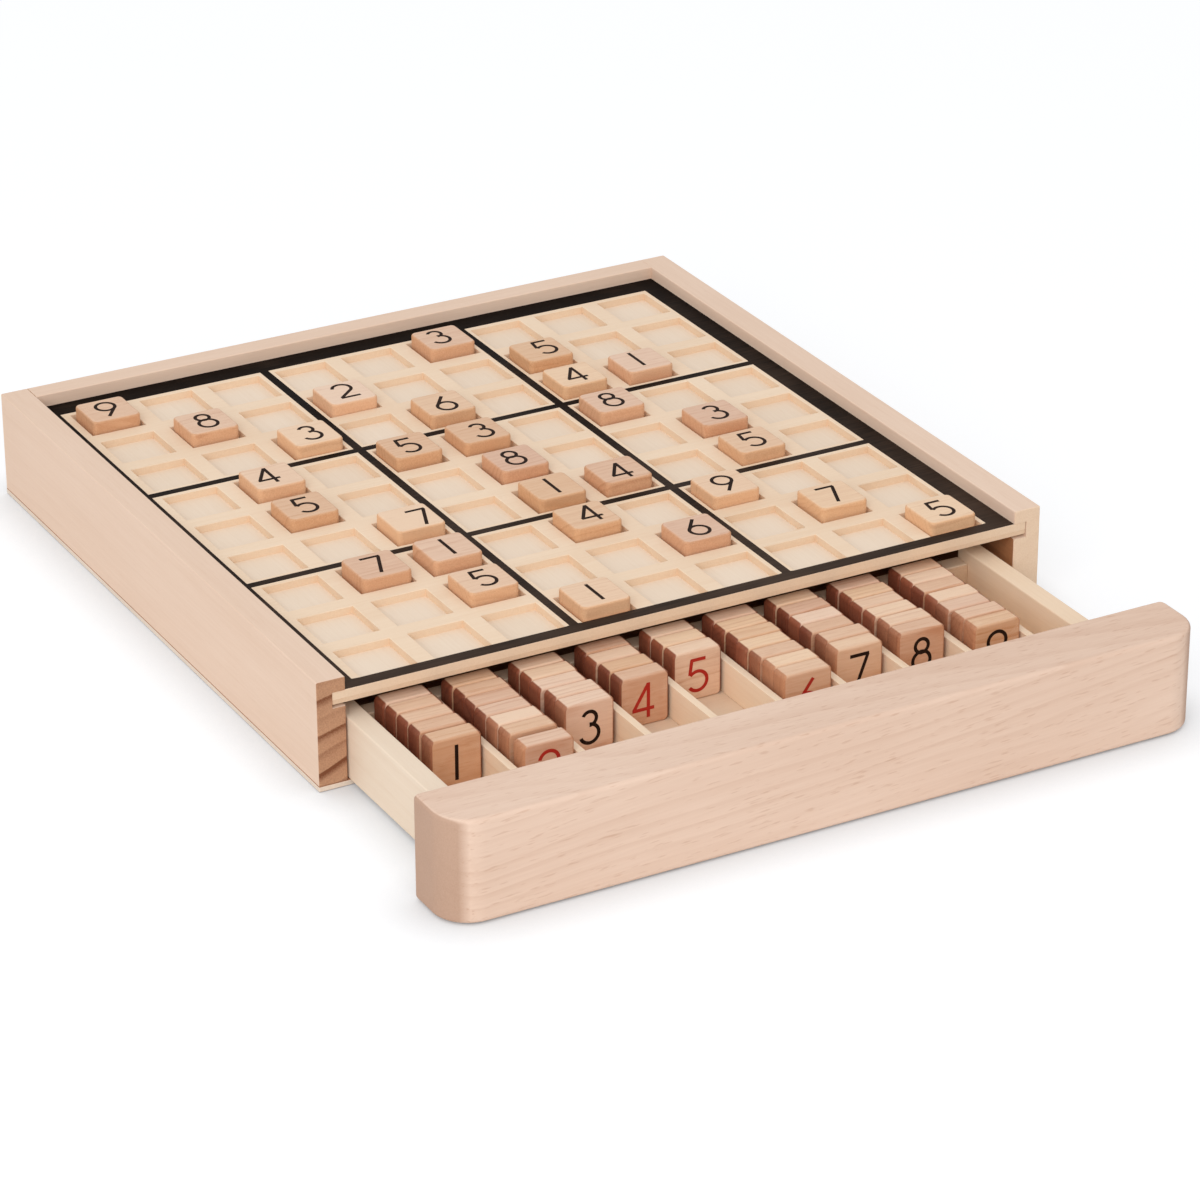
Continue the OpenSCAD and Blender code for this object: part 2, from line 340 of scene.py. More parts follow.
def grooved_rail(low, high, inner, floor):
    """A bar along Y, grooved in its inner face from the front end to the groove's stop."""
    bm = bmesh.new()
    middle, size = (low + high) / 2, high - low
    add_panel(bm, (middle.x, high.y, middle.z), size.x, size.z, Matrix.Rotation(QUARTER, 4, "X"))
    cut_through(bm, X, floor)
    cut_through(bm, Z, GROOVE_LOW, GROOVE_HIGH)
    section = draw_out(bm, bm.faces[:], Y, GROOVE_STOP)
    draw_out(bm, [f for f in section if not in_groove(f, X, inner, floor)], Y, low.y, keep=False)
    join_flats(bm)
    ease(bm, outline_edges(bm, low, high), RAIL_EASE)
    # Below the groove the inner face takes the second finish: painted shade of the box's inside under the
    # board.
    inside = [f for f in bm.faces if all(meets(v.co.x, inner) for v in f.verts)]
    around = each_once(part for f in inside for part in (*f.edges, *f.verts))
    bmesh.ops.bisect_plane(bm, geom=inside + around, plane_co=(0, 0, GROOVE_LOW), plane_no=(0, 0, 1))
    for face in bm.faces:
        below = all(meets(v.co.x, inner) and v.co.z < GROOVE_LOW + HAIR for v in face.verts)
        face.material_index = INSIDE_SHADE if below else SANDED
    return bm


RAIL_PALE, RAIL_DARK = tint(238, 211, 190), tint(217, 182, 155)
# Painted shade: dark brown for the rails' inner faces below the groove, inside the box.
SHADED_INSIDE_PALE, SHADED_INSIDE_DARK = tint(186, 132, 92), tint(146, 92, 60)
inside_painted_shade = wood(
    "rail_inside_painted_shade", "Y", SHADED_INSIDE_PALE, SHADED_INSIDE_DARK, sawn=(SHADED_INSIDE_PALE, SHADED_INSIDE_DARK),
    heart=(60, -90), ring=5.0, shift=90,
)
left_beech = wood(
    "left_rail_beech", "Y", RAIL_PALE, RAIL_DARK, sawn=(tint(200, 154, 121), tint(122, 72, 46)),
    heart=(88, -78), ring=5.6, line=0.1, end=1.0, sway=6.0, shift=40,
)
left_low, left_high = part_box("left_rail")
left_bar = grooved_rail(left_low, left_high, left_high.x, left_high.x - GROOVE_DEEP)
left_rail = make_piece("left_rail_bar", left_bar, left_beech, inside_painted_shade)
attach(left_rail, "box")
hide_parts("left_rail")

right_beech = wood(
    "right_rail_beech", "Y", RAIL_PALE, RAIL_DARK, sawn=(tint(240, 214, 187), tint(212, 176, 143)),
    heart=(-160, -70), ring=4.6, line=0.12, shift=310,
)
right_low, right_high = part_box("right_rail")
right_bar = grooved_rail(right_low, right_high, right_low.x, right_low.x + GROOVE_DEEP)
right_rail = make_piece("right_rail_bar", right_bar, right_beech, inside_painted_shade)
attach(right_rail, "box")
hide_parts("right_rail")

# Back rail: a thinner beech bar of the same height, glued between the side rails. Its groove runs
# from end to end and takes the back edge of the board.
back_beech = wood(
    "back_rail_beech", "X", RAIL_PALE, RAIL_DARK, sawn=(tint(226, 196, 168), tint(190, 148, 114)),
    heart=(200, -80), ring=4.8, line=0.12, shift=150,
)


def back_bar(low, high):
    """A bar along X, grooved from end to end in its front face."""
    bm = bmesh.new()
    middle, size, floor = (low + high) / 2, high - low, low.y + GROOVE_DEEP
    upright = Matrix.Rotation(QUARTER, 4, "Z") @ Matrix.Rotation(QUARTER, 4, "X")
    add_panel(bm, (low.x, middle.y, middle.z), size.y, size.z, upright)
    cut_through(bm, Y, floor)
    cut_through(bm, Z, GROOVE_LOW, GROOVE_HIGH)
    waste = [f for f in bm.faces if in_groove(f, Y, low.y, floor)]
    bmesh.ops.delete(bm, geom=waste, context="FACES")
    draw_out(bm, bm.faces[:], X, high.x)
    join_flats(bm)
    outline = outline_edges(bm, low, high)
    ease(bm, [e for e in outline if not meets(e.verts[0].co.x, e.verts[1].co.x)], RAIL_EASE)
    return bm


back_rail = make_piece("back_rail_bar", back_bar(*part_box("back_rail")), back_beech)
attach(back_rail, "box")
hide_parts("back_rail")

# Board backing: a thin sheet of plywood under the lattice and the floor of all its recesses. The
# two are glued together and slide into the rails' grooves from the front.
BACKING_EASE, FINE_STEPS = 0.15 * MM, 2
backing_ply = wood(
    "backing_plywood", "Y", tint(243, 225, 205), tint(224, 199, 172),
    sawn=(tint(231, 202, 172), tint(204, 167, 133)),
    heart=(-40, -280), ring=8.0, line=0.25, sheet=True, shift=75,
)
backing_sheet = eased_block(backing_low, backing_high, BACKING_EASE, FINE_STEPS)
backing = make_piece("board_backing_sheet", backing_sheet, backing_ply)
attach(backing, "box")
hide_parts("board_backing")

# Lattice: the top sheet of the board, pale plywood with 81 square holes, so that ribs are left
# between the recesses. A black frame and the lines round the nine blocks are printed on it.
CELLS, BLOCK, CELL, PITCH = 9, 3, 17.9 * MM, 23.58 * MM
GRID_X, GRID_Y = -103.9 * MM, -109.495 * MM
RIM_EASE, UPRIGHT = 0.25 * MM, 0.5
PRINT_LEFT, PRINT_RIGHT, PRINT_FRONT, PRINT_BACK = -106.6 * MM, 103.98 * MM, GRID_Y, 98.76 * MM
LINE_W = 2.9 * MM
BARE, PRINTED = 0, 1
# The ink's gloss, roughness and thinness, its relief, and the fibres and patches that show through it.
INK_GLOSS, INK_ROUGH, INK_FIBRE_ROUGH, INK_THIN = 0.06, 0.55, 0.2, 0.1
INK_BUMP, INK_DEEP = 0.2, 0.04 * MM
INK_FIBRE = ((0.05, 1, 1), 1.5, 4.0)
INK_PATCH = ((1, 1, 1), 0.05, 2.0)

lattice_ply = wood(
    "lattice_plywood", "X", tint(246, 223, 197), tint(228, 194, 160),
    sawn=(tint(238, 212, 184), tint(216, 184, 152)),
    heart=(30, -260), ring=7.0, line=0.25, sheet=True, shift=20,
)


def ink(name, colour, bare, wear, painted_glare=0.0):
    """Matt screen-printed ink with the fibres of the wood just showing through it.

    wear says how strongly they show, and painted_glare how much paler the ink is painted with each mm to
    the front, a painted sheen of light on the print."""
    finish, shader, start = new_finish(name, INK_GLOSS)
    place = start.add("TexCoord", output="Object")
    spot = start.add("Mapping", {"vector_type": "POINT"}, {"Vector": place, "Scale": PER_MM})
    fibre = spot.noise(*INK_FIBRE)
    patch = spot.noise(*INK_PATCH)
    # Thin patches of ink are real wear; the paling towards the front is a painted sheen.
    thin = ((fibre + patch - 1) * wear + INK_THIN - spot.parts()[1] * painted_glare).clip()
    thin.blend(colour, bare).into(shader.inputs["Base Color"])
    (INK_ROUGH + fibre * INK_FIBRE_ROUGH).into(shader.inputs["Roughness"])
    fibre.emboss(shader, INK_BUMP, INK_DEEP)
    return finish


# The board's print is painted paler towards the front: a painted sheen of light on the ink.
board_black = ink("board_black_print", tint(14, 6, 3), tint(118, 95, 80), wear=0.35, painted_glare=0.0011)


def lattice_sheet(low, high):
    """A sheet cut along the edges of its holes and of the print, the holes dropped out."""
    bm = bmesh.new()
    size, middle = high - low, (low + high) / 2
    add_panel(bm, (middle.x, middle.y, high.z), size.x, size.y)

    def hole_spans(start):
        return [(start + k * PITCH, start + k * PITCH + CELL) for k in range(CELLS)]

    def line_spans(holes):
        middles = [holes[k][0] - (PITCH - CELL) / 2 for k in range(BLOCK, CELLS, BLOCK)]
        return [(m - LINE_W / 2, m + LINE_W / 2) for m in middles]

    holes = [hole_spans(start) for start in (GRID_X, GRID_Y)]
    lines = [line_spans(spans) for spans in holes]
    bordered = [(PRINT_LEFT, PRINT_RIGHT), (PRINT_FRONT, PRINT_BACK)]
    for axis in (X, Y):
        spans = (*holes[axis], *lines[axis], bordered[axis])
        cut_through(bm, axis, *sorted({round(end, HAIR_PLACES) for span in spans for end in span}))

    def within(face, axis, spans):
        return any(a < face.calc_center_median()[axis] < b for a, b in spans)

    waste = [f for f in bm.faces if within(f, X, holes[X]) and within(f, Y, holes[Y])]
    bmesh.ops.delete(bm, geom=waste, context="FACES")
    for face in bm.faces:
        framed = within(face, X, bordered[:1]) and within(face, Y, bordered[1:])
        lined = within(face, X, lines[X]) or within(face, Y, lines[Y])
        face.material_index = PRINTED if lined or not framed else BARE
    draw_out(bm, bm.faces[:], Z, low.z)
    for face in bm.faces:
        if not meets(face.calc_center_median().z, high.z):
            face.material_index = BARE
    bmesh.ops.recalc_face_normals(bm, faces=bm.faces[:])

    def on_rim(edge):
        on_top = all(meets(v.co.z, high.z) for v in edge.verts)
        return on_top and min(abs(f.normal.z) for f in edge.link_faces) < UPRIGHT

    ease(bm, [e for e in bm.edges if on_rim(e)], RIM_EASE, FINE_STEPS)
    return bm


lattice_low.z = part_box("lattice_long_ribs")[0].z
lattice_mesh = lattice_sheet(lattice_low, lattice_high)
lattice = make_piece("board_lattice_sheet", lattice_mesh, lattice_ply, board_black)
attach(lattice, "box")
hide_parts("lattice_long_ribs", "lattice_cross_ribs")

# Drawer front: one thick beech board, its front corners turned to a wide radius and its rims
# sanded round. The drawer's sides and bottom are glued to its back.
FRONT_TURN, REAR_TURN, FRONT_EASE = 11.0 * MM, 2.0 * MM, 1.3 * MM
FRONT_STEPS, REAR_STEPS, RIM_STEPS = 14, 5, 4
front_beech = wood(
    "drawer_front_beech", "X", tint(236, 208, 188), tint(205, 166, 141),
    sawn=(tint(196, 162, 140), tint(172, 136, 114)),
    heart=(-140, -60), ring=3.2, line=0.4, fleck=0.36, end=0.1, sway=9.0, lean=4.0, shift=35,
)


def turned_front(low, high):
    """A block with its upright corners turned and its top and bottom rims eased."""
    bm = bmesh.new()
    add_block(bm, low, high)

    def on(edge, axis, place):
        return all(meets(v.co[axis], place) for v in edge.verts)

    for side, turn, steps in ((low.y, FRONT_TURN, FRONT_STEPS), (high.y, REAR_TURN, REAR_STEPS)):
        corners = [e for e in bm.edges if on(e, Y, side) and (on(e, X, low.x) or on(e, X, high.x))]
        ease(bm, corners, turn, steps)
    rims = [e for e in bm.edges if on(e, Z, low.z) or on(e, Z, high.z)]
    ease(bm, rims, FRONT_EASE, RIM_STEPS)
    return bm


front = make_piece("drawer_front_board", turned_front(*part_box("drawer_front")), front_beech)
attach(front, "drawer")
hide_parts("drawer_front")

# Drawer sides, back and bottom: thin pale boards. The bottom lies in grooves of the sides, the
# back stands on it between them and stops the rows of tiles.
BOARD_EASE = 0.5 * MM
SIDE_SAWN = (tint(224, 194, 164), tint(190, 150, 116))
side_wood = wood(
    "drawer_side_wood", "Y", tint(241, 223, 202), tint(224, 198, 171), SIDE_SAWN,
    heart=(120, -60), ring=5.0, line=0.15, shift=200,
)
right_wood = wood(
    "drawer_right_wood", "Y", tint(246, 222, 195), tint(227, 193, 159), SIDE_SAWN,
    heart=(-150, -70), ring=5.0, line=0.15, shift=420,
)
bottom_wood = wood(
    "drawer_bottom_wood", "X", tint(236, 214, 190), tint(216, 184, 154),
    sawn=(tint(226, 198, 168), tint(196, 156, 124)),
    heart=(-60, -240), ring=7.0, shift=260, sheet=True,
)
DRAWER_BOARDS = {
    "drawer_left_side": side_wood,
    "drawer_right_side": right_wood,
    "drawer_back": bottom_wood,
    "drawer_bottom": bottom_wood,
}
for name, finish in DRAWER_BOARDS.items():
    board = make_piece(name + "_board", eased_block(*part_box(name), BOARD_EASE), finish)
    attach(board, "drawer")
    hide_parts(name)

# Dividers: nine thin slats that stand on the drawer bottom and part its bays, glued to the drawer
# front and the drawer back.
DIVIDERS, SLAT_EASE = 9, 0.3 * MM
slat_wood = wood(
    "divider_wood", "Y", tint(250, 228, 202), tint(230, 195, 160),
    sawn=(tint(222, 190, 158), tint(188, 146, 112)),
    heart=(90, -50), ring=4.0, line=0.3, shift=120,
)
for n in range(1, DIVIDERS + 1):
    slat_block = eased_block(*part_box(f"divider_{n}"), SLAT_EASE, FINE_STEPS)
    slat = make_piece(f"divider_{n}_slat", slat_block, slat_wood)
    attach(slat, "drawer")
    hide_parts(f"divider_{n}")

# Tiles on the board: square beech tiles with turned corners and eased rims, one in a recess for each
# given number. The number is printed in black on one face and in red on the other.
TILE_TURN, TURN_STEPS, TILE_EASE, EASE_STEPS = 1.6 * MM, 6, 0.8 * MM, 4
# The ink's height on the tile, its depth in it, and how much lower each stroke is than the last one.
INK_PROUD, INK_SUNK, INK_STEP = 0.04 * MM, 0.2 * MM, 0.004 * MM
# Each given number, and how many mm its print sits to the right of the tile's middle and above it.
GIVEN = {
    "r1_c1": (9, 0, 0), "r1_c6": (3, -1.4, 0.5),
    "r2_c2": (8, 0, 0), "r2_c4": (2, 0.2, 0.7), "r2_c7": (5, 1.6, 0.7),
    "r3_c3": (3, 0, 0), "r3_c5": (6, 0, -0.9), "r3_c7": (4, 0, -0.3), "r3_c8": (1, -0.9, 0.8),
    "r4_c2": (4, -1.4, 0.5), "r4_c4": (5, -0.6, -0.3), "r4_c5": (3, 0.8, -0.8), "r4_c7": (8, -0.4, -0.1),
    "r5_c2": (5, 0, 0), "r5_c5": (8, -0.6, 0.1), "r5_c8": (3, 0, 0),
    "r6_c3": (7, 3.0, -1.2), "r6_c5": (1, 0, 0), "r6_c6": (4, 0, -1.2), "r6_c8": (5, 0, 0),
    "r7_c2": (7, 0, 0), "r7_c3": (1, 0, 0), "r7_c5": (4, 1.1, 0.5), "r7_c7": (9, 0, 0),
    "r8_c3": (5, 0, 0), "r8_c6": (6, 0, 0), "r8_c8": (7, 0, 0),
    "r9_c4": (1, 0, 0), "r9_c9": (5, 0, 0),
}
# Strokes of each number in mm about its middle: a bar from point to point, a bow by its centre,
# radius and first and last angle. A nine is a six turned upside down.
STROKE, BOW_STEP, BOW_STEPS_LEAST, FULL_TURN = 1.1, 12, 8, 360
SIX = [("bow", 0, -2.0, 3.05, 0, 360), ("bar", 1.7, 5.45, -2.62, -0.55)]
NUMBERS = {
    1: [("bar", 0, 5.5, 0, -5.5)],
    2: [("bow", 0, 2.0, 3.0, 168, -40), ("bar", 2.3, 0.07, -2.95, -4.6), ("bar", -3.35, -4.95, 3.3, -4.95)],
    3: [("bow", 0, 2.75, 2.2, 155, -90), ("bow", 0, -2.0, 2.95, 90, -160)],
    4: [("bar", 1.2, 5.3, -3.6, -2.7), ("bar", -4.0, -2.7, 3.1, -2.7), ("bar", 1.2, 5.5, 1.2, -5.5)],
    5: [("bar", -2.3, 4.95, 2.6, 4.95), ("bar", -1.9, 5.2, -2.55, 0.3), ("bow", 0, -1.9, 3.1, 140, -145)],
    6: SIX,
    7: [("bar", -3.1, 4.95, 3.25, 4.95), ("bar", 2.9, 4.9, -1.0, -5.5)],
    8: [("bow", 0, 2.75, 2.2, 0, 360), ("bow", 0, -2.0, 2.95, 0, 360)],
    9: [(kind, -a, -b, *(rest if kind == "bow" else (-rest[0], -rest[1]))) for kind, a, b, *rest in SIX],
}

# Each tile has the number of its blank. From the first spare on they stand in the drawer, their cut
# sides painted darker towards its back as shade under the board: from so many mm in front of the
# box's middle, over so many mm.
FIRST_GIVEN, FIRST_SPARE, SIDE_SHADE_FROM, SIDE_SHADE_OVER = 509, 540, 158.0, 26.0
tile_black = ink("tile_black_print", tint(30, 17, 11), tint(84, 58, 44), wear=0.4)
tile_red = ink("tile_red_print", tint(170, 36, 28), tint(196, 92, 74), wear=0.4)

# Pale and dark colours of the tiles: faces and cut sides of pink and of yellow blanks, the sides
# darker partly for their cut grain and partly as painted shade, and the cut sides of spare tiles
# near the drawer's front and in painted shade deep at its back.
PINK_FACE = (tint(239, 209, 186), tint(196, 141, 110))
YELLOW_FACE = (tint(241, 209, 176), tint(200, 143, 100))
PINK_SIDE = (tint(232, 186, 149), tint(191, 133, 98))
YELLOW_SIDE = (tint(232, 187, 145), tint(191, 135, 92))
NEAR_SIDE = (tint(218, 164, 126), tint(176, 112, 78))
DEEP_SIDE_SHADED = (tint(150, 85, 60), tint(94, 42, 28))
# What sets the blanks apart: two more draws of chance, and how far apart in mm they were in the log.
WARM_DRAW, LEAN_DRAW, LOG_APART = 31.7, 77.3, (37.0, 11.0, 23.0)
# Strength of rings, dashes, pores and each blank's own tone on the faces and on the cut sides, and
# of the painted shade on the broad faces of standing spare tiles.
TILE_LINE, SPARE_LINE, TILE_FLECK, TILE_TONE, SPARE_FACE_SHADE = 0.22, 0.13, 0.12, 0.55, 0.3
SIDE_LINE, SIDE_PORE, SIDE_TONE, SIDE_MEAN = 0.3, 0.8, 0.6, 0.3
SIDE_FROM, SIDE_SHARP, TILE_DASH_FROM, TILE_ROUGH = 0.34, 2, 0.6, 0.44
TILE_RING, TILE_SWAY, TILE_LEAN = 1.9, 2.5, 1.1
TILE_WANDER = ((0.25, 1, 1), 0.12)
TILE_FIBRE = ((0.06, 1, 1), 1.6, 4.0)
TILE_DASH = ((0.14, 1, 1), 1.6, 1.0)
TILE_PORE = ((1, 1, 1), 2.5, 3.0)


def tile_beech():
    """Beech of many small blanks: each tile has its own tone and its own rings."""
    finish, shader, start = new_finish("tile_beech", WOOD_GLOSS)
    blank = start.add("Attribute", {"attribute_name": "blank"}, output=2)
    tone = blank.chance() - 0.5
    warm = (blank + WARM_DRAW).chance()
    lean = ((blank + LEAN_DRAW).chance() - 0.5) * (2 * TILE_LEAN)
    apart = start.add("CombineXYZ", (), {k: blank * step for k, step in enumerate(LOG_APART)})
    body = start.add("TexCoord", output="Object")
    place = start.add("VectorMath", {"operation": "SCALE"}, {0: body, "Scale": 1 / MM})
    spot = start.add("VectorMath", {"operation": "ADD"}, {0: place, 1: apart})
    across, up = spot.parts()[1:]
    wander = (spot.noise(*TILE_WANDER) - 0.5) * (2 * TILE_SWAY)
    reach = across * lean.math("COSINE", lean) + up * lean.math("SINE", lean) + wander
    figure = growth_rings(reach, TILE_RING)
    fibre = spot.noise(*TILE_FIBRE)
    dash = ((spot.noise(*TILE_DASH) - TILE_DASH_FROM) * DASH_SHARP).clip()
    east, north = start.add("TexCoord", output="Normal").parts()[:2]
    stood = start.math("GREATER_THAN", blank, FIRST_SPARE - 0.5)
    # Painted shade: the broad faces of spare tiles standing in the drawer are darker.
    spare_face_shade_mask = abs(north) * stood
    marks = figure * (TILE_LINE + stood * SPARE_LINE) + dash * TILE_FLECK + (fibre - 0.5) * FIBRE_TONE
    shade = (marks + tone * TILE_TONE + spare_face_shade_mask * SPARE_FACE_SHADE + MEAN_TONE).clip()
    flat = warm.blend(shade.blend(*PINK_FACE), shade.blend(*YELLOW_FACE))
    pores = spot.noise(*TILE_PORE)
    cut_shade = (figure * SIDE_LINE + (pores - 0.5) * SIDE_PORE + tone * SIDE_TONE + SIDE_MEAN).clip()
    # Cut sides are darker and more orange than the faces: partly their cut grain, partly painted shade of
    # sides turned from the light above.
    side_grain_and_shade = warm.blend(cut_shade.blend(*PINK_SIDE), cut_shade.blend(*YELLOW_SIDE))
    # Painted shade: the cut sides of spare tiles get darker towards the drawer's back, under the board.
    deep = ((place.parts()[1] + SIDE_SHADE_FROM) / SIDE_SHADE_OVER).clip()
    spare_side_painted_shade = deep.blend(cut_shade.blend(*NEAR_SIDE), cut_shade.blend(*DEEP_SIDE_SHADED))
    cut = stood.blend(side_grain_and_shade, spare_side_painted_shade)
    sideways = abs(east) * (1 + stood) + abs(north) * (1 - stood)
    sides = ((sideways - SIDE_FROM) * SIDE_SHARP).clip()
    sides.blend(flat, cut).into(shader.inputs["Base Color"])
    (TILE_ROUGH + fibre * FIBRE_ROUGH).into(shader.inputs["Roughness"])
    fibre.emboss(shader, FIBRE_BUMP, FIBRE_DEEP)
    return finish


tile_wood = tile_beech()


def add_tile(bm, low, high, blank):
    """Adds one tile with turned corners and eased rims, marked with the number of its blank."""
    mark = bm.verts.layers.float.get("blank") or bm.verts.layers.float.new("blank")
    before = set(bm.verts)
    verts = add_block(bm, low, high)
    thick = min(range(3), key=lambda k: high[k] - low[k])

    def along_thickness(edge):
        return not meets(edge.verts[0].co[thick], edge.verts[1].co[thick])

    corners = [e for e in each_once(e for v in verts for e in v.link_edges) if along_thickness(e)]
    ease(bm, corners, TILE_TURN, TURN_STEPS)
    made = [v for v in bm.verts if v not in before]
    rims = [e for e in each_once(e for v in made for e in v.link_edges) if not along_thickness(e)]
    ease(bm, rims, TILE_EASE, EASE_STEPS)
    for v in bm.verts:
        if v not in before:
            v[mark] = blank


def add_bar(bm, start, end):
    """Adds a flat straight stroke between two points and gives its corners."""
    run, middle = end - start, (start + end) / 2
    slant = Matrix.Rotation(math.atan2(run.y, run.x), 4, "Z")
    return add_panel(bm, (*middle, 0.0), run.length, STROKE, slant)


def add_bow(bm, centre, radius, first, last):
    """Adds a flat round stroke about a centre, from the first angle to the last, and gives its corners."""
    before = set(bm.verts)
    ray = Vector((math.cos(math.radians(first)), math.sin(math.radians(first)), 0.0))
    ends = [bm.verts.new(centre + ray * (radius + side * STROKE / 2)) for side in (-1, 1)]
    sweep = last - first
    bmesh.ops.spin(
        bm, geom=[*ends, bm.edges.new(ends)], cent=centre, axis=(0, 0, 1), angle=math.radians(sweep),
        steps=max(BOW_STEPS_LEAST, round(abs(sweep) / BOW_STEP)), use_merge=abs(sweep) >= FULL_TURN,
    )
    return [v for v in bm.verts if v not in before]


def add_number(bm, number, place, finish):
    """Prints a number as thin strokes of ink, at a place whose X and Y lie in the tile's face."""
    for layer, (kind, x, y, *size) in enumerate(NUMBERS[number]):
        if kind == "bar":
            verts = add_bar(bm, Vector((x, y)), Vector(size))
        else:
            verts = add_bow(bm, Vector((x, y, 0.0)), *size)
        proud = INK_PROUD - layer * INK_STEP
        tops = draw_out(bm, each_once(f for v in verts for f in v.link_faces), Z, proud / MM)
        for v in verts:
            v.co.z = -INK_SUNK / MM
        verts += each_once(v for f in tops for v in f.verts)
        stroke = each_once(f for v in verts for f in v.link_faces)
        for face in stroke:
            face.material_index = finish
        bmesh.ops.transform(bm, matrix=place @ Matrix.Scale(MM, 4), verts=verts)
        bmesh.ops.recalc_face_normals(bm, faces=stroke)


BLACK, RED = 1, 2
for blank, (cell, (number, right, above)) in enumerate(GIVEN.items(), FIRST_GIVEN):
    low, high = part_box(f"tile_{cell}")
    low, high = low + Vector((0, 0, INK_PROUD)), high - Vector((0, 0, INK_PROUD))
    bm = bmesh.new()
    add_tile(bm, low, high, blank)
    middle = (low + high) / 2
    upper_face = Matrix.Translation((middle.x + right * MM, middle.y + above * MM, high.z))
    add_number(bm, number, upper_face, BLACK)
    underside = Matrix.Translation((middle.x, middle.y, low.z)) @ Matrix.Rotation(math.pi, 4, "Y")
    add_number(bm, number, underside, RED)
    tile = make_piece(f"given_tile_{cell}", bm, tile_wood, tile_black, tile_red)
    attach(tile, f"loose_{cell}")
    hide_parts(f"tile_{cell}")

# Rows of spare tiles: the same tiles standing on edge in the drawer's bays, one number to a bay.
# They lean on the drawer back, and the front tile shows its black or its red side.
FRONT_INK = {1: BLACK, 2: RED, 3: BLACK, 4: RED, 5: RED, 6: RED, 7: BLACK, 8: BLACK, 9: BLACK}
ROW_BLANKS, WELD = 9, 1e-6


def separate_tiles(node):
    """Low and high corner of each separate solid of a CAD node, from the back to the front."""
    bm = bmesh.new()
    bm.from_mesh(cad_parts[node].data)
    bmesh.ops.remove_doubles(bm, verts=bm.verts[:], dist=WELD)
    left, boxes = set(bm.verts), []
    while left:
        found = [left.pop()]
        for v in found:
            near = [e.other_vert(v) for e in v.link_edges]
            found += [n for n in near if n in left]
            left -= set(near)
        low, high = (Vector([pick(v.co[k] for v in found) for k in range(3)]) for pick in (min, max))
        boxes.append((low, high))
    bm.free()
    return sorted(boxes, key=lambda corners: -corners[0].y)


for n, front_ink in FRONT_INK.items():
    bm = bmesh.new()
    tiles = separate_tiles(f"tile_row_{n}")
    for i, (low, high) in enumerate(tiles):
        thin = Vector((0, INK_PROUD, 0))
        add_tile(bm, low + thin, high - thin, FIRST_SPARE + ROW_BLANKS * n + i)
    first, last = tiles[-1], tiles[0]
    upright = Matrix.Rotation(QUARTER, 4, "X")
    middle = (first[0] + first[1]) / 2
    ahead = Matrix.Translation((middle.x, first[0].y + INK_PROUD, middle.z))
    add_number(bm, n, ahead @ upright, front_ink)
    middle = (last[0] + last[1]) / 2
    behind = Matrix.Translation((middle.x, last[1].y - INK_PROUD, middle.z))
    add_number(bm, n, behind @ Matrix.Rotation(math.pi, 4, "Z") @ upright, BLACK + RED - front_ink)
    row = make_piece(f"spare_row_{n}", bm, tile_wood, tile_black, tile_red)
    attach(row, f"row_{n}")
    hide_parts(f"tile_row_{n}")

# Studio: a pale floor under the box, an even white surround and one broad soft lamp high on the
# left. The floor shows white to the camera and keeps the box's soft shadow; near the box's foot
# its glow is also darkened by ambient occlusion, a painted contact shadow.
FLOOR_WIDTH, FLOOR_DROP, FOOT_SHADE, SHADE_SAMPLES = 8.0, 0.2 * MM, 16 * MM, 8
FLOOR_GREY, FLOOR_ROUGH, FLOOR_MATT = (0.8, 0.8, 0.8, 1.0), 0.9, (0.5, 0.5, 0.5, 1.0)
FOOT_PAINTED_SHADOW, OPEN_GLOW = (0.1, 0.106, 0.114, 1.0), (0.555, 0.565, 0.58, 1.0)
SURROUND, WHITE = 0.75, (1.0, 1.0, 1.0, 1.0)
LAMP_WIDTH, LAMP_POWER, LAMP_PLACE = 1.6, 21.0, (-1.3, -1.5, 1.2)


def shown_white(start):
    """1 for the rays of the camera, of gloss and of glass, which see the studio as plain white."""
    kinds = ("Is Camera Ray", "Is Glossy Ray", "Is Transmission Ray")
    camera_ray, glossy_ray, glass_ray = (start.add("LightPath", output=kind) for kind in kinds)
    return (camera_ray + glossy_ray + glass_ray).clip()


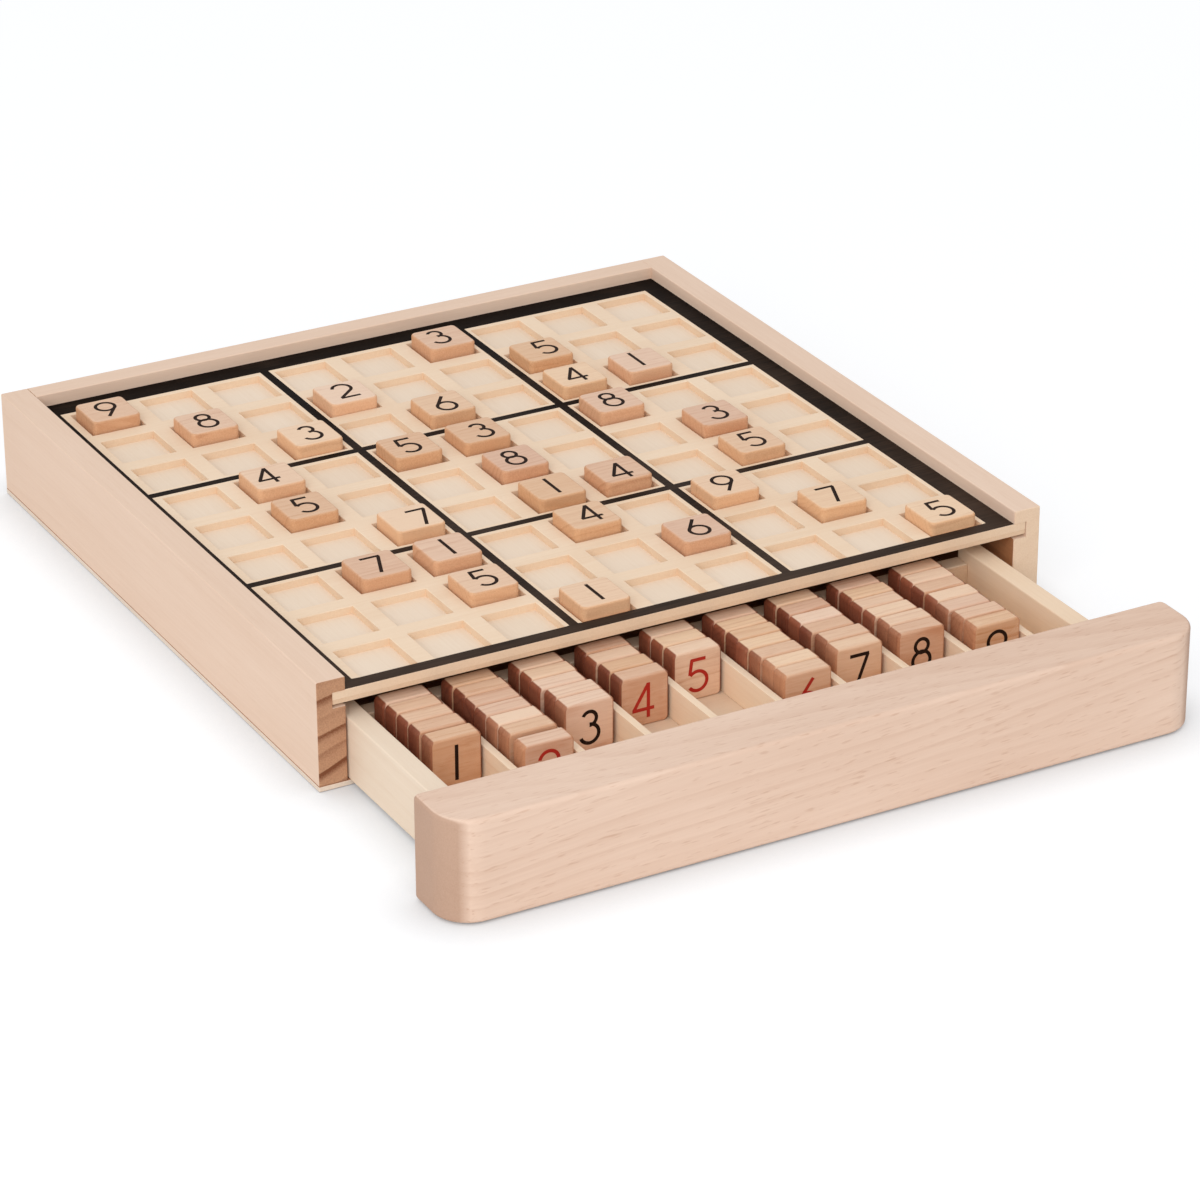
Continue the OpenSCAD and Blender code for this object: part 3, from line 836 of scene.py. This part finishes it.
bm = bmesh.new()
add_panel(bm, (0, 0, -FLOOR_DROP), FLOOR_WIDTH, FLOOR_WIDTH)
mesh = bpy.data.meshes.new("studio_floor")
bm.to_mesh(mesh)
bm.free()
floor_paint, floor_shader, start = new_finish("floor_paint", 0.0)
floor_shader.inputs["Base Color"].default_value = FLOOR_GREY
floor_shader.inputs["Roughness"].default_value = FLOOR_ROUGH
matt = start.add("BsdfDiffuse", (), {"Color": FLOOR_MATT})
# Painted shadow: the floor's glow for the camera darkens near the box, as far as the ambient occlusion
# reaches.
near = start.add("AmbientOcclusion", {"samples": SHADE_SAMPLES}, {"Distance": FOOT_SHADE}, "AO")
glow = start.add("Emission", (), {"Color": near.blend(FOOT_PAINTED_SHADOW, OPEN_GLOW), "Strength": 1.0})
white = start.add("AddShader", (), {0: matt, 1: glow})
plain = Wire(start.tree, floor_shader.outputs[0])
surface = start.add("MixShader", (), {0: shown_white(start), 1: plain, 2: white})
surface.into(start.tree.nodes["Material Output"].inputs["Surface"])
mesh.materials.append(floor_paint)
studio_floor = bpy.data.objects.new("studio_floor", mesh)
bpy.context.scene.collection.objects.link(studio_floor)

world = bpy.data.worlds.new("studio_surround")
bpy.context.scene.world = world
world.use_nodes = True
backdrop = world.node_tree.nodes["Background"]
backdrop.inputs["Color"].default_value = WHITE
brightness = SURROUND + shown_white(Wire(world.node_tree)) * (1 - SURROUND)
brightness.into(backdrop.inputs["Strength"])

lamp_data = bpy.data.lights.new("soft_lamp", "AREA")
lamp_data.shape, lamp_data.size, lamp_data.energy = "DISK", LAMP_WIDTH, LAMP_POWER
lamp = bpy.data.objects.new("soft_lamp", lamp_data)
lamp.location = LAMP_PLACE
lamp.rotation_euler = (-lamp.location).to_track_quat("-Z", "Y").to_euler()
bpy.context.scene.collection.objects.link(lamp)
bpy.context.scene.view_settings.view_transform = "Standard"

# Camera: a long lens from the front left, a little above the board, set for a square picture of
# 1200 by 1200. It looks along the azimuth and elevation, with a slight roll.
AZIMUTH, ELEVATION, ROLL = math.radians(28.671498), math.radians(26.114207), math.radians(-0.176249)
CAMERA_PLACE, FOCAL_LENGTH, SENSOR = (-0.609993, -1.174926, 0.631111), 141.7326, 36.0
level = math.cos(ELEVATION)
away = Vector((-math.sin(AZIMUTH) * level, -math.cos(AZIMUTH) * level, math.sin(ELEVATION)))
lens = bpy.data.cameras.new("camera")
lens.lens, lens.sensor_width = FOCAL_LENGTH, SENSOR
camera = bpy.data.objects.new("camera", lens)
camera.location = CAMERA_PLACE
camera.rotation_mode = "QUATERNION"
camera.rotation_quaternion = (-away).to_track_quat("-Z", "Y") @ Quaternion((0, 0, 1), ROLL)
bpy.context.scene.collection.objects.link(camera)
bpy.context.scene.camera = camera
